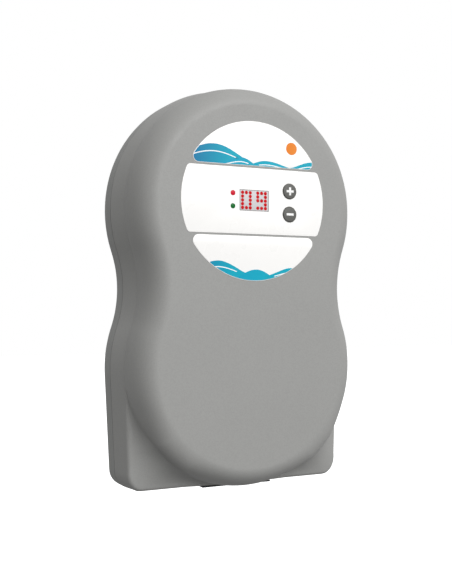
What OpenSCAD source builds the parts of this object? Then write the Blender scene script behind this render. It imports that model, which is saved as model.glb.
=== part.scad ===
// Wall-hung control box of a salt chlorine generator, in millimetres.
// Sub-parts are laid out in a plan frame: x to the right, y up the wall and z out of the wall.
// upright() then turns that plan frame so that +Z is up and the front faces -Y.
// The origin is the centre of the wall bracket's screw pattern, on the wall.

/* [Case outline] */
// Radius of the two round lobes
lobe_r = 94.7; // [93:0.1:97]
// Height of the upper lobe's centre above the origin
upper_y = 54.7; // [52:0.1:57]
// Height of the lower lobe's centre above the origin
lower_y = -62.3; // [-64:0.1:-60]
// Radius of the concave waist between the lobes
waist_r = 87.5; // [80:0.5:92]
// Height of the flat bottom
bottom_y = -150; // [-152:0.1:-148]
// Inward lean of the square base's sides, in degrees
side_taper = 2.9; // [2:0.1:4]
// Radius of the base's two bottom corners
base_corner_r = 13; // [10:0.5:18]

/* [Case depth] */
// Wall to the cover's flat front
front_h = 62; // [61:0.1:64]
// Wall to the front of the square base
corner_h = 34; // [32:0.1:36]
// Wall to the rear housing's rim
seam_h = 15.4; // [15:0.1:16]
// Open seam between the rear housing and the cover
seam_gap = 0.8; // [0.6:0.1:1]
// Rounding of the cover's front edge, measured inwards
front_edge_r = 16; // [14:0.1:18]
// The same rounding, measured down from the front
front_edge_drop = 25; // [17:0.5:28]
// Rounding of the square base's front edge
base_edge_r = 4; // [3.6:0.1:6]
// How high the hollow slope climbs from the square base to the dome, at most
slope_rise = 14; // [8:0.5:16]
// The same climb as a share of the slope's width, where the slope is narrow
slope_share = 0.7; // [0.4:0.05:0.9]
// How far in from the case outline the dome's side stands, at the front edge's foot and at the base
dome_in = 4.5; // [3:0.1:7.5]
foot_in = 4.6; // [3:0.1:5]
// Share by which the two are less at the very top
top_less = 0.36; // [0:0.01:0.5]
// How much shorter the dome's lower end is than a full circle
dome_flat = 2; // [1:0.1:3]
// Step and set-back of the rear housing's back edge
back_step = 2; // [1:0.1:3]
// Moulded wall thickness
wall = 3; // [2.6:0.1:3.2]

/* [Front panel] */
// Radius of the round panel group
panel_r = 58.4; // [56:0.1:59]
// Height of its centre above the origin
panel_y = 60.4; // [59:0.1:61]
// Half the height of the control strip across the middle
strip_half = 24.2; // [23:0.1:26]
// Width of the case showing between two panels
panel_gap = 1.4; // [1:0.1:2]
// Panel thickness
panel_t = 0.9; // [0.8:0.05:1]
// How deep the panels are let into the cover
panel_sink = 0.7; // [0.5:0.05:0.8]
// Corner radius of the control strip
strip_corner_r = 3; // [2:0.1:4]
// Corner radius of the upper and lower badges
badge_corner_r = 4.5; // [3:0.1:5]

/* [Keys and lamps] */
// Key radius
key_r = 5.65; // [5.2:0.05:5.8]
// Distance of the keys to the right of the panel's centre
key_x = 29.3; // [28:0.1:31]
// Height of the keys above and below the panel's centre
key_y = 8.6; // [8:0.1:9]
// Key travel
key_travel = 0.7; // [0.5:0.05:0.75]
// Lamp radius
lamp_r = 1.9; // [1.7:0.05:2]
// Display window width and height
window_size = [24, 15.3]; // [14:0.1:26]
// Radius of one display dot
dot_r = 1.3; // [0.9:0.05:1.35]
// Sideways and upward pitch of the dots
dot_pitch = [3.15, 2.75]; // [2.5:0.05:3.3]

/* [Fixings] */
// Wall screw spacing, across and up
wall_screws = [76, 24]; // [20:1:80]
// Radius of the bracket's wall screw holes
wall_hole_r = 2.6; // [2.2:0.1:3]
// Shank radius of the four screws that hold the cover
case_screw_r = 1.5; // [1.4:0.05:1.5]
// Radial clearance where a part of the cover slides past a part of the housing
slide_gap = 0.3; // [0.25:0.05:0.4]

/* [Inside] */
// Outer radius of the toroidal transformer
toroid_r = 42; // [36:1:44]
// Height of the transformer's stack
toroid_h = 34; // [28:1:36]
// Bore radii of the mains, cell and sensor cable grommets
cable_r = [4.1, 5, 2.6]; // [2:0.1:5.2]

/* [Hidden] */
$fn = 96;
eps = 1;

// Outline construction
half_pitch = (upper_y - lower_y) / 2;
mid_y = (upper_y + lower_y) / 2;
waist_x = sqrt(pow(lobe_r + waist_r, 2) - pow(half_pitch, 2));
blend_a = asin(half_pitch / (lobe_r + waist_r));
cover_h = seam_h + seam_gap;

// Tongue and groove at the seam
tongue_in = wall + slide_gap + 1;
tongue_t = 2;
tongue_h = 18.5;

// Wall bracket and the pocket it sits in
bracket_size = [96, 37];
sheet_t = 1.5;
hook_x = 24;
hook_w = 14;
hook_foot = 2.5;
hook_reach = 11.5;
pocket_y = 3;
pocket_size = [104, 58];
pocket_floor = wall - 0.5;
pocket_top = 12;
slot_size = [104, 46];

// Case fixings
case_screw_out = [72, 36.5];
case_screw_at = [for (s = [-1, 1], t = [-1, 1])
    [s * case_screw_out[0], (t > 0 ? upper_y : lower_y) + t * case_screw_out[1]]];
boss_r = 4.5;
boss_from = 18.5;
boss_to = 53.8;
rear_boss_r = 5;
board_boss_r = 3.5;
toroid_boss_r = 7;
toroid_boss_h = 8;
screw_recess_r = 3.6;
screw_recess = 4;
pilot_r = 1.25;
small_shank_r = 1.2;
small_hole_r = 1.5;
small_head = [2.7, 1.8];
small_length = 9;
rib_from = 83;
rib_to = [88, 90.2];

// Front panel
panel_from = front_h - panel_sink;
lamp_at = [[-17.7, 5.2], [-17.7, -4.3]];
window_at = [-0.3, 0.35];
digit_x = [-6.8, 5.7];
digits = [[[1, 1, 1], [1, 0, 1], [1, 0, 1], [1, 0, 1], [1, 1, 1]],
          [[1, 1, 1], [1, 0, 1], [1, 1, 1], [0, 0, 1], [1, 1, 1]]];
board_h = 47;
pcb_t = 1.6;
display_board_size = [104, 56];
display_screw_at = [for (sx = [-1, 1], sy = [-1, 1]) [sx * 47, sy * 23]];
key_top = front_h + panel_t - panel_sink + 0.9;
plunger_top = board_h + 5.3;

// Inside
main_h = 17;
main_top = main_h + pcb_t;
main_board_size = [128, 104];
main_board_y = 46;
board_screw_at = [for (sx = [-1, 1], y = [0, 92]) [sx * 58, y]];
toroid_at = [0, -88];
toroid_bore = 13;
toroid_from = wall + 2;
pad_r = 34;
pad_t = 2;
washer_r = 30;
washer_t = 1.5;
bolt_r = 3;
washer_z = toroid_from + toroid_h + pad_t;
plate_half = 24;
grommet_x = [-15, 15, 0];
grommet_r = [6.4, 7, 4.4];
grommet_h = 18.5;
notch_from = 6;
notch_top = corner_h - 2.4;
notch_deep = 14;
plate_size = [57, 0.9];
plate_behind = 5.3;
grommet_top = 6.2;
header_at = [-38, 8];
connector_y = -15.5;

// Turns the plan frame upright
module upright() { rotate([90, 0, 0]) children(); }

// A box centred on x and y
module slab(size, z0, z1) {
    translate([-size[0] / 2, -size[1] / 2, z0]) cube([size[0], size[1], z1 - z0]);
}

// Half section of a turned body whose top edge is rounded
module edge_profile(r, edge, z0, z1) {
    translate([0, z0]) square([r - edge, z1 - z0]);
    translate([0, z0]) square([r, z1 - edge - z0]);
    intersection() {
        translate([r - edge, z1 - edge]) circle(edge);
        translate([r - edge, z1 - edge]) square(edge + eps);
    }
}

// The case outline is a list of rays [spine point, direction, length to the dome's side, angle below
// the horizontal on the lower lobe]. Moving the outline inwards shortens every ray.
function unit(a) = [cos(a), sin(a)];
function lobe_rays(y, start, n, low) = [for (i = [0 : n - 1])
    let (a = start + (180 + 2 * blend_a) * i / n) [[0, y], unit(a), lobe_r, low ? dip(a) : 0]];
function dip(a) = a <= 180 || a >= 360 ? 0 : a < 270 ? a - 180 : 360 - a;
function waist_rays(from, to, n) = [for (i = [0 : n - 1])
    let (a = from + (to - from) * i / n, s = cos(a) > 0 ? -1 : 1)
        [[0, mid_y - s * waist_x * tan(a)], -unit(a), waist_x / abs(cos(a)) - waist_r, 0]];
rays = concat(lobe_rays(upper_y, -blend_a, 44, false), waist_rays(blend_a, -blend_a, 12),
    lobe_rays(lower_y, 180 - blend_a, 68, true), waist_rays(180 + blend_a, 180 - blend_a, 12));

// Length of a ray to the outer side of the case, moved inwards by o
function base_side(o, b) = (lobe_r - o) / cos(b - side_taper);
function base_floor(o, b) = (lower_y - bottom_y - o) / sin(b);
corner_down = lower_y - bottom_y - base_corner_r;
corner_out = (lobe_r - base_corner_r - sin(side_taper) * corner_down) / cos(side_taper);
function corner_from(r) = atan2(corner_down + r * sin(side_taper), corner_out + r * cos(side_taper));
function corner_to(r) = atan2(corner_down + r, corner_out);
function base_corner(o, b) = let (along = corner_out * cos(b) + corner_down * sin(b))
    along + sqrt(pow(along, 2) - pow(corner_out, 2) - pow(corner_down, 2) + pow(base_corner_r - o, 2));
function case_len(ray, o) = let (b = ray[3], r = base_corner_r - o)
    b <= side_taper ? ray[2] - o : b < corner_from(r) ? base_side(o, b)
    : b < corner_to(r) ? base_corner(o, b) : base_floor(o, b);
function at_ray(ray, r, z) = [ray[0][0] + ray[1][0] * r, ray[0][1] + ray[1][1] * r, z];

// The case outline as a flat shape, moved inwards by o
module case_shape(o) { polygon([for (ray = rays) let (p = at_ray(ray, case_len(ray, o), 0)) [p[0], p[1]]]); }
module case_slice(o, z0, z1) { translate([0, 0, z0]) linear_extrude(z1 - z0) case_shape(o); }

// Share of the side's inward lean along a ray: all of it at the sides, none along the flat bottom
function side_share(b, r) = min(1, max(0, (corner_to(r) - b) / (corner_to(r) - corner_from(r))));

// Section of the cover along one ray as [length, height] pairs, moved inwards by o. Down the dome's rounded
// edge, over a hollow slope where the square base stands out, and down the leaning side of the case
function bend(at, r, a0, a1, n) = [for (i = [1 : n]) at + r * unit(a0 + (a1 - a0) * i / n)];
function way(p, q, n) = [for (i = [1 : n]) p + (q - p) * i / n];
function sag(p, low, q, n) = let (mid = low / 2 + (p + q) / 4)
    [for (i = [1 : n]) let (t = i / n) pow(1 - t, 2) * p + 2 * t * (1 - t) * mid + t * t * q];
function section(ray, o) = let (
        side = case_len(ray, o), swell = ray[2] - o - dome_flat * pow(sin(ray[3]), 2),
        less = 1 - top_less * max(ray[1][1], 0), floor_z = corner_h - o,
        dome = swell - dome_in * less, foot = swell - foot_in * less,
        lean = max(0, min(foot_in * less, side - foot)) * side_share(ray[3], base_corner_r - o),
        shelf = side - foot - lean, rise = min(slope_rise, slope_share * max(shelf, 0)),
        r = min(base_edge_r - o, shelf * 0.45), drop = min(front_edge_drop, front_h - corner_h - rise),
        e = [front_edge_r - o, drop - o], k = front_h - drop, out = side - lean)
    concat([for (i = [0 : 6]) [dome - e[0] + e[0] * sin(15 * i), k + e[1] * cos(15 * i)]],
        shelf > 0.4 ? concat(way([dome, k], [foot, floor_z + rise], 2),
            sag([foot, floor_z + rise], [foot, floor_z], [out - r, floor_z], 4),
            bend([out - r, floor_z - r], r, 90, 0, 2))
        : concat(way([dome, k], [out, floor_z], 2),
            way([out, floor_z], [side - lean * (floor_z - base_edge_r - cover_h) / (floor_z - cover_h),
                floor_z - base_edge_r], 6)),
        [[side, cover_h]]);

// The cover's hollow shell in one piece: outer skin, rim and inner skin
function skin(o) = [for (ray = rays) section(ray, o)];
module cover_shell() {
    outer = skin(0);
    inner = skin(wall);
    n = len(rays);
    m = len(outer[0]);
    points = concat([for (j = [0 : m - 1], i = [0 : n - 1]) at_ray(rays[i], outer[i][j][0], outer[i][j][1])],
        [for (j = [m - 1 : -1 : 0], i = [0 : n - 1]) at_ray(rays[i], inner[i][j][0], inner[i][j][1])]);
    bands = [for (j = [0 : 2 * m - 2], i = [0 : n - 1]) let (k = (i + 1) % n)
        each [[j * n + i, j * n + k, j * n + n + i], [j * n + k, j * n + n + k, j * n + n + i]]];
    polyhedron(points, concat([[for (i = [n - 1 : -1 : 0]) i]], bands,
        [[for (i = [0 : n - 1]) (2 * m - 1) * n + i]]));
}

function flipped(v) = [for (i = [len(v) - 1 : -1 : 0]) [-v[i][0], v[i][1]]];

// Outline of the slice of a circle between two heights, with rounded corners
function slice_turn(r, c, y) = atan2(y, sqrt(pow(r - c, 2) - pow(y, 2)));
function arc(at, r, a0, a1, n) = [for (i = [0 : n]) let (a = a0 + (a1 - a0) * i / n)
    [at[0] + r * cos(a), at[1] + r * sin(a)]];
function slice_low(r, y, c) = let (a = slice_turn(r, c, y + c))
    arc([(r - c) * cos(a), y + c], c, -90, a, 6);
function slice_high(r, y, c) = let (a = slice_turn(r, c, y - c))
    arc([(r - c) * cos(a), y - c], c, a, 90, 6);
function strip_side(r, half, c) = let (a = slice_turn(r, c, half - c))
    concat(slice_low(r, -half, c), arc([0, 0], r, -a, a, 14), slice_high(r, half, c));
function badge_side(r, y, c) = let (a = slice_turn(r, c, y + c))
    concat(slice_low(r, y, c), arc([0, 0], r, a, 84, 14));

module strip_shape(grow) {
    side = strip_side(panel_r + grow, strip_half + grow, strip_corner_r);
    polygon(concat(side, flipped(side)));
}
module badge_shape(grow) {
    side = badge_side(panel_r + grow, strip_half + panel_gap - grow, badge_corner_r);
    polygon(concat(side, [[0, panel_r + grow]], flipped(side)));
}
module on_panel() { translate([0, panel_y, 0]) children(); }
module at_keys() { for (s = [-1, 1]) translate([key_x, panel_y + s * key_y, 0]) children(); }
module at_lamps() { for (p = lamp_at) translate([p[0], panel_y + p[1], 0]) children(); }
module tube_hole(r, z0, z1) { translate([0, 0, z0]) cylinder(r = r, h = z1 - z0); }

// Pan head screw pointing to -z, with its head's underside at the origin and a cross recess
module pan_screw(r, length, head_r, head_h) {
    difference() {
        union() {
            tube_hole(r, -length, 0.1);
            rotate_extrude() edge_profile(head_r, head_h * 0.6, 0, head_h);
        }
        for (a = [0, 90]) rotate([0, 0, a]) slab([head_r * 1.1, head_r * 0.24], head_h * 0.45, head_h + eps);
    }
}

module wall_bracket() {
    color("silver") upright() {
        difference() {
            slab(bracket_size, 0, sheet_t);
            for (sx = [-1, 1], sy = [-1, 1])
                translate([sx * wall_screws[0] / 2, sy * wall_screws[1] / 2, -eps])
                    cylinder(r = wall_hole_r, h = sheet_t + 2 * eps);
        }
        for (s = [-1, 1]) translate([s * hook_x - hook_w / 2, 17, 0]) {
            translate([0, 0, sheet_t - 0.1]) cube([hook_w, hook_foot, 3.4]);
            translate([0, 0, wall + 0.3]) cube([hook_w, hook_reach, sheet_t]);
        }
    }
}

module rear_housing() {
    color("dimgray") upright() difference() {
        union() {
            difference() {
                union() {
                    case_slice(back_step, 0, back_step + eps);
                    case_slice(0, back_step, seam_h);
                    case_slice(tongue_in, seam_h - eps, tongue_h);
                }
                case_slice(tongue_in + tongue_t, wall, tongue_h + eps);
            }
            translate([0, pocket_y, 0]) slab(pocket_size + [4, 4], pocket_floor, pocket_top);
            for (p = case_screw_at) translate(p) tube_hole(rear_boss_r, pocket_floor, boss_from - 0.6);
            for (p = board_screw_at) translate(p) tube_hole(board_boss_r, pocket_floor, main_h);
            translate(toroid_at) tube_hole(toroid_boss_r, pocket_floor, toroid_boss_h);
        }
        translate([0, -pocket_y, 0]) slab(slot_size, -eps, pocket_top - 2);
        translate([0, pocket_y, 0]) slab(pocket_size, wall, pocket_top - 2);
        for (p = case_screw_at) translate(p) {
            tube_hole(screw_recess_r, -eps, screw_recess);
            tube_hole(case_screw_r + 0.2, 3, boss_from);
        }
        for (p = board_screw_at) translate(p) tube_hole(pilot_r, 7, main_h + eps);
        translate(toroid_at) tube_hole(bolt_r + 0.05, 3.6, toroid_boss_h + eps);
        translate([0, bottom_y + 3, 0]) slab([2 * plate_half, notch_deep], notch_from, tongue_h + eps);
    }
}

module seam_gasket() {
    color("#303230") upright() difference() {
        case_slice(1, seam_h, seam_h + seam_gap - slide_gap);
        case_slice(wall, seam_h - eps, seam_h + 2 * eps);
        translate([0, bottom_y, 0]) slab([2 * plate_half, notch_deep], notch_from, tongue_h);
    }
}

module entry_plate() {
    color("#26292b") upright() difference() {
        union() {
            translate([0, bottom_y - slide_gap - plate_size[1] / 2, 0])
                slab(plate_size, notch_from - 1, corner_h - 0.6);
            translate([0, bottom_y - slide_gap + plate_behind / 2, 0])
                slab([2 * plate_half - 0.1, plate_behind], notch_from + 0.05, notch_top - 0.6);
        }
        for (i = [0 : 2]) translate([grommet_x[i], bottom_y, grommet_h]) rotate([90, 0, 0])
            cylinder(r = grommet_r[i], h = 20, center = true);
    }
}

// Rubber cable grommet, flush with the plate below and flanged above it
module grommet(i) {
    color("#1c1d1e") upright() translate([grommet_x[i], bottom_y, grommet_h]) rotate([-90, 0, 0])
        difference() {
            union() {
                tube_hole(grommet_r[i], -slide_gap - plate_size[1], grommet_top);
                tube_hole(grommet_r[i] + 1, grommet_top - 1.2, grommet_top);
            }
            tube_hole(cable_r[i], -10, 10);
        }
}
module mains_grommet() { grommet(0); }
module cell_grommet() { grommet(1); }
module sensor_grommet() { grommet(2); }

module case_screws() {
    color("silver") upright() for (p = case_screw_at) translate([p[0], p[1], screw_recess])
        mirror([0, 0, 1]) pan_screw(case_screw_r, 30, 3.3, 2.2);
}

module main_board() {
    color("darkgreen") upright() difference() {
        translate([0, main_board_y, 0]) slab(main_board_size, main_h, main_top);
        for (p = board_screw_at) translate(p) tube_hole(small_hole_r, main_h - eps, main_top + eps);
    }
}

module board_screws() {
    color("silver") upright() for (p = board_screw_at) translate([p[0], p[1], main_top])
        pan_screw(small_shank_r, small_length, small_head[0], small_head[1]);
}

// Ring of rounded section
module soft_ring(r0, r1, z0, z1, e) {
    rotate_extrude() {
        translate([r0 + e, z0]) square([r1 - r0 - 2 * e, z1 - z0]);
        translate([r0, z0 + e]) square([r1 - r0, z1 - z0 - 2 * e]);
        for (x = [r0 + e, r1 - e], z = [z0 + e, z1 - e]) translate([x, z]) circle(e);
    }
}

module transformer() {
    color("#c9a227") upright() translate(toroid_at)
        soft_ring(toroid_bore, toroid_r, toroid_from, toroid_from + toroid_h, 6);
}
module transformer_pads() {
    color("#202020") upright() translate(toroid_at) for (z = [wall, toroid_from + toroid_h]) difference() {
        tube_hole(pad_r, z, z + pad_t);
        tube_hole(9, z - eps, z + pad_t + eps);
    }
}
module transformer_washer() {
    color("silver") upright() translate(toroid_at) difference() {
        tube_hole(washer_r, washer_z, washer_z + washer_t);
        tube_hole(bolt_r + 0.3, washer_z - eps, washer_z + washer_t + eps);
    }
}
module transformer_bolt() {
    color("silver") upright() translate(toroid_at) {
        translate([0, 0, washer_z + washer_t]) cylinder(r = 5.7, h = 4, $fn = 6);
        tube_hole(bolt_r, 4, washer_z + washer_t + 0.5);
    }
}
lead_x = [14.5, 17.8, 21.1, 24.4];
module transformer_leads() {
    color("#b03030") upright() difference() {
        for (x = lead_x) translate([x, toroid_at[1] + 30, 25]) rotate([-90, 0, 0])
            tube_hole(1.1, 4, -toroid_at[1] - 30 - 5.1);
        translate(toroid_at) tube_hole(toroid_r + 0.05, 10, 40);
    }
}
module transformer_plug() {
    color("ivory") upright() translate([19.45, -1, 0]) slab([14, 8], main_top, main_top + 10);
}

module rectifier() {
    color("#1b1b1d") upright() translate([24, 66, 0]) slab([28, 28], main_top, main_top + 7);
}
module heatsink() {
    base_z = main_top + 7;
    color("silver") upright() translate([24, 66, 0]) {
        slab([56, 40], base_z, base_z + 3);
        for (i = [-4 : 4]) translate([i * 6.75, 0, 0]) slab([1.6, 40], base_z + 2, base_z + 15);
    }
}
module relays() {
    color("#1f4f9c") upright() for (x = [-38, -14]) translate([x, 34, 0])
        slab([19, 15.5], main_top, main_top + 15.7);
}
module capacitors() {
    color("#2a2f45") upright() for (x = [22, 43]) translate([x, 24, 0])
        rotate_extrude() edge_profile(9, 1, main_top, main_top + 23);
}

// Screw terminal block, wires entering from below
module terminals(ways, pitch) {
    difference() {
        slab([ways * pitch + 2, 12], main_top, main_top + 13);
        for (i = [0 : ways - 1]) translate([(i - (ways - 1) / 2) * pitch, 0, 0]) {
            translate([-pitch * 0.34, -7, main_top + 2]) cube([pitch * 0.68, 7, 5]);
            tube_hole(2.6, main_top + 9, main_top + 14);
        }
    }
}
mains_at = [40, 2];
cell_at = [-6, 2];
mains_pitch = 7.5;
cell_pitch = 9;
module mains_terminals() { color("seagreen") upright() translate(mains_at) terminals(3, mains_pitch); }
module cell_terminals() { color("seagreen") upright() translate(cell_at) terminals(3, cell_pitch); }
module terminal_screws() {
    color("silver") upright() for (i = [-1 : 1], t = [[mains_at, mains_pitch], [cell_at, cell_pitch]])
        translate([t[0][0] + i * t[1], t[0][1], 0]) difference() {
            tube_hole(2.4, main_top + 9, main_top + 12);
            slab([5, 0.8], main_top + 11, main_top + 12 + eps);
        }
}

fuse_at = [-34, 86];
fuse_z = 25;
module fuse_clips() {
    color("silver") upright() for (s = [-1, 1]) translate([fuse_at[0] + s * 10, fuse_at[1], 0]) difference() {
        slab([5, 8], main_top, fuse_z + 1.6);
        translate([0, 0, fuse_z]) rotate([0, 90, 0]) cylinder(r = 2.65, h = 8, center = true);
        translate([0, 0, fuse_z + 2]) slab([8, 4], 0, 4);
    }
}
module fuse_glass() {
    color("lightcyan") upright() translate([fuse_at[0], fuse_at[1], fuse_z]) rotate([0, 90, 0])
        cylinder(r = 2.4, h = 15, center = true);
}
module fuse_caps() {
    color("silver") upright() for (s = [-1, 1]) translate([fuse_at[0] + s * 10, fuse_at[1], fuse_z])
        rotate([0, 90, 0]) cylinder(r = 2.6, h = 5, center = true);
}
module microcontroller() {
    color("#151515") upright() translate([-38, 62, 0]) slab([20, 20], main_top, main_top + 2.2);
}
module ribbon_header() {
    color("#202225") upright() translate(header_at) difference() {
        slab([22, 10], main_top, main_top + 8.5);
        slab([19.6, 6.6], main_top + 2, main_top + 10);
    }
}

module front_cover() {
    color("darkgray") upright() difference() {
        union() {
            cover_shell();
            on_panel() for (p = display_screw_at) translate(p) tube_hole(3.2, board_h, front_h - 2);
            for (p = case_screw_at) translate(p) tube_hole(boss_r, boss_from, boss_to);
            for (p = case_screw_at) let (up = p[1] > 0 ? 1 : 0) translate([0, up ? upper_y : lower_y, 0])
                rotate([0, 0, atan2((2 * up - 1) * case_screw_out[1], p[0])])
                    translate([rib_from, -1.2, tongue_h + 1]) cube([rib_to[up] - rib_from, 2.4, 16]);
        }
        on_panel() {
            translate([0, 0, panel_from]) linear_extrude(panel_sink + eps) strip_shape(0.05);
            for (a = [0, 180]) rotate([0, 0, a]) translate([0, 0, panel_from])
                linear_extrude(panel_sink + eps) badge_shape(0.05);
            translate(window_at) slab([window_size[0] + 0.4, window_size[1] + 0.4], board_h + 8, front_h);
            for (p = display_screw_at) translate(p) tube_hole(pilot_r, board_h - eps, board_h + small_length);
        }
        at_keys() tube_hole(key_r + slide_gap, board_h + 8, front_h);
        at_lamps() tube_hole(lamp_r + 0.2, board_h + 8, front_h);
        for (p = case_screw_at) translate(p) tube_hole(case_screw_r + slide_gap, boss_from - eps, 38);
        translate([0, bottom_y, 0]) slab([2 * plate_half + 1, notch_deep], cover_h - eps, notch_top);
    }
}

module badge() { translate([0, 0, panel_from]) linear_extrude(panel_t) badge_shape(0); }
module upper_badge() { color("white") upright() on_panel() badge(); }
module lower_badge() { color("white") upright() on_panel() rotate([0, 0, 180]) badge(); }
module control_strip() {
    color("white") upright() difference() {
        on_panel() translate([0, 0, panel_from]) linear_extrude(panel_t) strip_shape(0);
        on_panel() translate(window_at)
            slab([window_size[0] + 0.1, window_size[1] + 0.1], panel_from - eps, front_h + eps);
        at_keys() tube_hole(key_r + slide_gap, panel_from - eps, front_h + eps);
        at_lamps() tube_hole(lamp_r + 0.05, panel_from - eps, front_h + eps);
    }
}
module display_window() {
    color("gainsboro") upright() on_panel() translate(window_at)
        slab(window_size, panel_from, panel_from + panel_t);
}
module display_dots() {
    color("red") upright() on_panel()
        for (d = [0, 1], row = [0 : 4], col = [0 : 2]) if (digits[d][row][col] == 1)
            translate([digit_x[d] + (col - 1) * dot_pitch[0], 0.4 + (2 - row) * dot_pitch[1], 0])
                tube_hole(dot_r, panel_from + panel_t, panel_from + panel_t + 0.1);
}
module display_module() {
    color("#d9d9d6") upright() on_panel() translate(window_at)
        slab([window_size[0] - 0.2, window_size[1] - 0.2], board_h, panel_from - 0.05);
}

// Round lamp with its flange and two legs
module lamp(at) {
    upright() translate([at[0], panel_y + at[1], 0]) {
        rotate_extrude() edge_profile(lamp_r, 0.5, board_h + 4, front_h + 0.5);
        tube_hole(lamp_r + 0.5, board_h + 4, board_h + 5);
        for (s = [-1, 1]) translate([0, s * 1.27, 0]) tube_hole(0.25, board_h - 3, board_h + 4.5);
    }
}
module red_lamp() { color("crimson") lamp(lamp_at[0]); }
module green_lamp() { color("green") lamp(lamp_at[1]); }

module display_board() {
    color("darkgreen") upright() on_panel() difference() {
        slab(display_board_size, board_h - pcb_t, board_h);
        for (p = display_screw_at) translate(p) tube_hole(small_hole_r, board_h - 2 * pcb_t, board_h + eps);
        for (p = lamp_at, s = [-1, 1]) translate([p[0], p[1] + s * 1.27, 0])
            tube_hole(0.3, board_h - 2 * pcb_t, board_h + eps);
    }
}
module display_screws() {
    color("silver") upright() on_panel() for (p = display_screw_at)
        translate([p[0], p[1], board_h - pcb_t]) mirror([0, 0, 1])
            pan_screw(small_shank_r, small_length, small_head[0], small_head[1]);
}
module key_switches() {
    color("#222222") upright() at_keys() slab([6.2, 6.2], board_h, board_h + 3.6);
}
module switch_plungers() {
    color("#8a8a8a") upright() at_keys() tube_hole(1.7, board_h + 3.6, plunger_top);
}
module display_connector() {
    color("#202225") upright() on_panel() translate([header_at[0], connector_y, 0])
        slab([22, 9], board_h - pcb_t - 8, board_h - pcb_t);
}

// Flat cable: straight down from the display connector, then round a bend into the plug
module ribbon_cable() {
    cable_z = 41;
    bend = 6;
    turn_y = header_at[1] + bend;
    color("#8f9496") upright() translate([header_at[0] + 9, 0, 0]) rotate([0, -90, 0]) linear_extrude(18) {
        translate([cable_z - 0.5, turn_y]) square([1, panel_y + connector_y - 4.5 - turn_y]);
        intersection() {
            translate([cable_z - bend, turn_y]) difference() {
                circle(bend + 0.5);
                circle(bend - 0.5);
            }
            translate([cable_z - bend, turn_y - bend - eps]) square(bend + eps);
        }
        translate([main_top + 13.4, header_at[1] - 0.5]) square([cable_z - bend - main_top - 13.4, 1]);
    }
}
module ribbon_plug() {
    color("#2b2e31") upright() translate(header_at) {
        slab([18.8, 5.8], main_top + 2.6, main_top + 9.5);
        slab([21.6, 8], main_top + 9, main_top + 13.4);
    }
}

// Round key: rounded head, retaining flange behind the cover and a stem to the switch
module key_body() {
    rotate_extrude() edge_profile(key_r, 0.6, front_h - 4.6, key_top);
    tube_hole(key_r + 1.2, front_h - 4.5, front_h - wall - slide_gap);
    tube_hole(2, plunger_top + key_travel + 0.2, front_h - 4);
}
module sign_bar(a) {
    rotate([0, 0, a]) slab([6, 1.7], key_top, key_top + 0.1);
}
module plus_key() { color("dimgray") upright() translate([key_x, panel_y + key_y, 0]) key_body(); }
module minus_key() { color("dimgray") upright() translate([key_x, panel_y - key_y, 0]) key_body(); }
module plus_sign() {
    color("white") upright() translate([key_x, panel_y + key_y, 0]) {
        sign_bar(0);
        sign_bar(90);
    }
}
module minus_sign() { color("white") upright() translate([key_x, panel_y - key_y, 0]) sign_bar(0); }

wall_bracket();
rear_housing();
seam_gasket();
entry_plate();
mains_grommet();
cell_grommet();
sensor_grommet();
case_screws();
main_board();
board_screws();
transformer();
transformer_pads();
transformer_washer();
transformer_bolt();
transformer_leads();
transformer_plug();
rectifier();
heatsink();
relays();
capacitors();
mains_terminals();
cell_terminals();
terminal_screws();
fuse_clips();
fuse_glass();
fuse_caps();
microcontroller();
ribbon_header();
front_cover();
upper_badge();
control_strip();
lower_badge();
display_window();
display_dots();
display_module();
red_lamp();
green_lamp();
display_board();
display_screws();
key_switches();
switch_plungers();
display_connector();
ribbon_cable();
ribbon_plug();
plus_key();
plus_sign();
minus_key();
minus_sign();
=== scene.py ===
"""Looks of a wall-hung salt chlorine generator box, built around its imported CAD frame.

Lengths in this script are millimetres in the plan frame of the case (x right, y up, z out of the wall),
and place() turns them into the row frame in metres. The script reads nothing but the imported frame.
"""
import math
import bpy
import bmesh
import numpy as np
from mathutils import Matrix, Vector


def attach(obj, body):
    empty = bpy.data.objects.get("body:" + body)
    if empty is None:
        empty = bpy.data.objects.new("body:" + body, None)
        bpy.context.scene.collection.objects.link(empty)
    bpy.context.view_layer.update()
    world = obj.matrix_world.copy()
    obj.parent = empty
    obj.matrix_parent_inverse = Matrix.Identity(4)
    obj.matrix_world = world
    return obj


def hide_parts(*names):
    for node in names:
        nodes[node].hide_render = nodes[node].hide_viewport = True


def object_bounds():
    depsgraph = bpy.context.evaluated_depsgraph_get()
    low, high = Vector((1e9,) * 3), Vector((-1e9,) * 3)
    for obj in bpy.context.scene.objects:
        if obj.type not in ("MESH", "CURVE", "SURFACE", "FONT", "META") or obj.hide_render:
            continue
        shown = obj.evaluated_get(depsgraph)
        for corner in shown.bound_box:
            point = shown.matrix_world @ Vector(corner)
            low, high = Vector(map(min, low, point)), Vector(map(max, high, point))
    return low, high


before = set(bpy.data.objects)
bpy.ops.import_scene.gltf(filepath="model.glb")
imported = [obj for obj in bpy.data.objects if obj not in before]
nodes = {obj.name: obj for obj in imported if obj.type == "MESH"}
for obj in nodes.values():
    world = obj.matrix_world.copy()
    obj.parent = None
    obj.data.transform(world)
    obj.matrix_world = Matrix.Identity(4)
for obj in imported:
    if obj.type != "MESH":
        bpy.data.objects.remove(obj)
cad_box = [list(v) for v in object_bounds()]
MM = 0.001

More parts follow.
